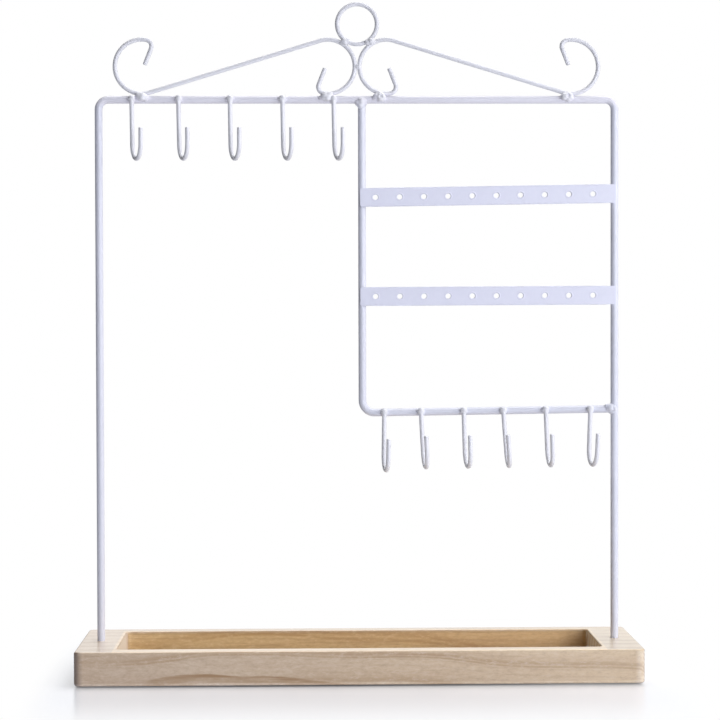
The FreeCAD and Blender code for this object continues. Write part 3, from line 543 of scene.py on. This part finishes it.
# Beads of the crest, the ring and the panel rod: lumps as (x, y, z, radius), then a crater as (x, z, radius).
BEADS = {
    "bead_crest_far_left": (((-117.2, -2.0, 312.8, 2.3), (-114.0, -2.3, 311.5, 2.0),
                             (-115.6, -2.8, 312.2, 2.3), (-118.9, -1.6, 312.0, 1.3),
                             (-112.8, -1.4, 312.2, 1.2)), None),
    "bead_crest_left": (((-17.2, -2.0, 312.2, 2.6), (-14.9, -2.2, 313.2, 2.1), (-19.9, -1.8, 311.5, 1.4),
                         (-16.0, -3.0, 311.6, 2.1)), None),
    "bead_crest_right": (((12.9, -2.4, 311.9, 2.6), (10.4, -2.0, 312.4, 2.0), (8.9, -1.7, 311.3, 1.4),
                          (11.9, -1.6, 313.9, 1.9), (14.1, -3.0, 311.5, 1.6)), (12.7, 312.1, 1.3)),
    "bead_crest_far_right": (((112.0, -2.4, 312.2, 2.2), (115.3, -2.3, 312.2, 2.1), (110.0, -1.7, 312.1, 1.2),
                              (113.6, -2.0, 313.6, 1.7), (113.7, -2.2, 311.2, 1.9)), (113.7, 312.7, 1.1)),
    "bead_ring_left": (((-6.9, -1.0, 341.9, 1.9), (-5.3, -1.1, 342.7, 1.4), (-8.3, -0.8, 341.6, 1.3)), None),
    "bead_ring_right": (((5.3, -1.1, 341.5, 1.6), (7.6, -1.3, 342.0, 1.9), (9.3, -0.7, 342.0, 1.1)), None),
    "bead_scrolls": (((0.9, -0.5, 331.1, 0.8), (0.8, -0.7, 328.7, 1.1), (0.9, -0.5, 326.4, 0.8)), None),
    "bead_panel_top": (((2.3, -1.5, 309.6, 2.5), (-0.9, -1.0, 309.7, 1.3), (0.6, -1.4, 308.9, 1.9),
                        (3.9, -1.8, 310.2, 1.5), (2.0, -1.9, 307.6, 2.2)), None),
    "bead_panel_side": (((137.0, -1.6, 144.0, 2.3), (134.8, -1.4, 144.9, 1.4), (135.6, -1.5, 143.6, 1.6),
                         (138.6, -1.9, 143.6, 1.9)), (138.3, 143.8, 0.9)),
}
for number, (name, (lumps, crater)) in enumerate(sorted(BEADS.items())):
    weld_bead(name, lumps, number + 1, crater)

# Each hook's top is drowned in its own puddle of weld, thicker towards its left.
HOOKS = sorted(name for name in frame["nodes"] if "_hook_" in name)
for number, name in enumerate(HOOKS):
    low, high = corners_of(name)
    x, z = low.x + 2.0, high.z - 2.0
    draw = random.Random(number + 11)
    reach, rise = draw.uniform(0.9, 1.6), draw.uniform(-0.5, 0.4)
    puddle = ((x - reach, -2.5, z - 0.1 + rise, 1.3), (x + 0.2, -3.2, z + 0.3, 1.75),
              (x + 1.0, -2.7, z - 0.7, 1.2), (x, -3.3, z - 1.9, 1.35))
    weld_bead("bead_" + name, puddle, number + 31, fineness=3)

# Front face of both strips, and the number of holes in each.
STRIP_FRONT = corners_of("earring_bar_upper")[0].y
EARRING_HOLES = 10


def circle(steps):
    """Cosine and sine of each step round a circle."""
    return [(math.cos(2 * math.pi * k / steps), math.sin(2 * math.pi * k / steps)) for k in range(steps)]


def add_hole_rims(name, first, last):
    """Coating that rounds over the rims of a row of holes, between the middles (x, z) of its end holes."""
    # Radius and depth behind the front face, from the front round into the hole and out at the back.
    profile = ((2.25, 0.02), (2.06, -0.06), (1.86, -0.09), (1.64, -0.04), (1.48, 0.10), (1.38, 0.30),
               (1.35, 0.60), (1.36, 1.16), (1.51, 1.21))
    mesh = bmesh.new()
    for i in range(EARRING_HOLES):
        x, z = Vector(first).lerp(Vector(last), i / (EARRING_HOLES - 1))
        rings = [[mesh.verts.new(((x + radius * cos) * MM, (STRIP_FRONT + depth) * MM,
                                  (z + radius * sin) * MM)) for cos, sin in circle(40)]
                 for radius, depth in profile]
        skin(mesh, rings + rings[:1])
    bmesh.ops.recalc_face_normals(mesh, faces=mesh.faces)
    return finish_piece(mesh, name, "coated_steel")


add_hole_rims("hole_rims_upper", (9.649, 258.072), (127.266, 259.796))
add_hole_rims("hole_rims_lower", (9.650, 204.629), (127.279, 205.040))


def add_strip_edge(name, start, end):
    """Rounded coating along one long edge of a strip, between two points (x, z)."""
    spans, thickest, sunk = 60, 0.50, 0.37  # sunk: how far the bead's axis lies inside the strip's two faces
    rise = (end[1] - start[1]) / (end[0] - start[0])
    lean = -1.0 if name.endswith("top") else 1.0
    mesh = bmesh.new()
    rows = []
    for i in range(spans + 1):
        x = start[0] + (end[0] - start[0]) * i / spans
        radius = thickest * min(1.0, 0.35 + 2.5 * min(i, spans - i) / spans * 6)
        y, z = STRIP_FRONT + sunk, start[1] + rise * (x - start[0]) + lean * sunk
        rows.append([mesh.verts.new((x * MM, (y + radius * cos) * MM, (z + radius * sin) * MM))
                     for cos, sin in circle(12)])
    skin_with_ends(mesh, rows)
    bmesh.ops.recalc_face_normals(mesh, faces=mesh.faces)
    return finish_piece(mesh, name, "coated_steel")


# Each strip slopes by its own angle in degrees. The edges stop short of its ends and lie just inside its box.
EDGE_SHORT, EDGE_IN = 0.9, 0.01
for label, tilt in (("upper", 0.84), ("lower", 0.20)):
    low, high = corners_of("earring_bar_" + label)
    left, right = low.x + EDGE_SHORT, high.x - EDGE_SHORT
    rise = math.tan(math.radians(tilt)) * (high.x - low.x)
    add_strip_edge("edge_%s_top" % label, (left, high.z - rise + EDGE_IN), (right, high.z - EDGE_IN))
    add_strip_edge("edge_%s_bottom" % label, (left, low.z + EDGE_IN), (right, low.z + rise - EDGE_IN))


# ---------------------------------------------------------------- stage, light and camera, in metres

def add_plane(name, size, location, material):
    """Flat square of the stage."""
    mesh = bmesh.new()
    bmesh.ops.create_grid(mesh, x_segments=1, y_segments=1, size=size / 2)
    item = new_object(mesh, name, material)
    item.location = location
    return item


def add_lamp(name, place, target, size, power, colour=(1.0, 1.0, 1.0), size_y=None):
    """Softbox that looks at a target."""
    lamp = bpy.data.lights.new(name, "AREA")
    lamp.shape = "RECTANGLE"
    lamp.size = size
    lamp.size_y = size_y or size
    lamp.energy = power
    lamp.color = colour
    item = bpy.data.objects.new(name, lamp)
    item.location = place
    item.rotation_euler = (Vector(target) - Vector(place)).to_track_quat("-Z", "Y").to_euler()
    bpy.context.scene.collection.objects.link(item)
    return item


def light_world():
    """World that the camera sees as plain white, and that lights the stand by direction."""
    world = bpy.data.worlds.new("studio")
    bpy.context.scene.world = world
    world.use_nodes = True
    tree = world.node_tree
    tree.nodes.clear()
    x, y, z = axes(tree, add(tree, "ShaderNodeTexCoord").outputs["Generated"])
    # A dark flag stands to the left of the stand and a white wall to its right. The backdrop is behind.
    level = ramp(tree, spread(tree, x, -1.0, 1.0),
                 ((0.0, (0.015, 0.015, 0.015)), (0.41, (0.03, 0.03, 0.03)), (0.58, (0.40, 0.41, 0.44)),
                  (0.74, (0.64, 0.65, 0.68)), (1.0, (0.64, 0.65, 0.67))))
    behind = times(tree, spread(tree, y, 0.80, 0.92), spread(tree, absolute(tree, x), 0.42, 0.30))
    behind = times(tree, behind, spread(tree, z, 0.02, 0.10))
    level = blend(tree, behind, level, (1.33, 1.33, 1.33))
    glow = add(tree, "ShaderNodeBackground", Color=level, Strength=0.75).outputs[0]
    white = add(tree, "ShaderNodeBackground", Color=WHITE, Strength=1.0).outputs[0]
    seen = add(tree, "ShaderNodeLightPath").outputs["Is Camera Ray"]
    mixed = add(tree, "ShaderNodeMixShader", i0=seen, i1=glow, i2=white)
    add(tree, "ShaderNodeOutputWorld", Surface=mixed.outputs[0])


def add_camera():
    """Camera that stands where the photograph was taken from, worked out from the base and the frame."""
    focal_pixels, frame_pixels, sensor = 2072.25, 720.0, 36.0
    eye = Vector((-24.71, -1121.33, 194.96)) * MM
    yaw, pitch, roll = 0.02306, 0.0220, -0.00249
    forward = Vector((math.sin(yaw) * math.cos(pitch), math.cos(yaw) * math.cos(pitch), -math.sin(pitch)))
    side = Vector((math.cos(yaw), -math.sin(yaw), 0.0))
    over = side.cross(forward)
    right = side * math.cos(roll) + over * math.sin(roll)
    up = over * math.cos(roll) - side * math.sin(roll)
    lens = bpy.data.cameras.new("photo_camera")
    lens.sensor_width = sensor
    lens.lens = focal_pixels / frame_pixels * sensor
    camera = bpy.data.objects.new("photo_camera", lens)
    camera.matrix_world = Matrix.Translation(eye) @ Matrix((right, up, -forward)).transposed().to_4x4()
    bpy.context.scene.collection.objects.link(camera)
    bpy.context.scene.camera = camera


add_plane("table_top", 12.0, (0.0, 0.0, 0.0), make_table())
add_lamp("key_right", (1.35, -0.55, 0.60), (0.0, 0.0, 0.16), 0.8, 7.0, (1.0, 0.98, 0.95))
add_lamp("front_soft", (0.80, -1.68, 0.42), (0.0, 0.0, 0.17), 1.1, 15.0, (0.875, 0.90, 1.0), 0.6)
add_lamp("back_soft", (0.10, 0.40, 1.55), (0.0, 0.0, 0.0), 1.4, 20.0)
light_world()
add_camera()
bpy.context.scene.view_settings.view_transform = "Standard"
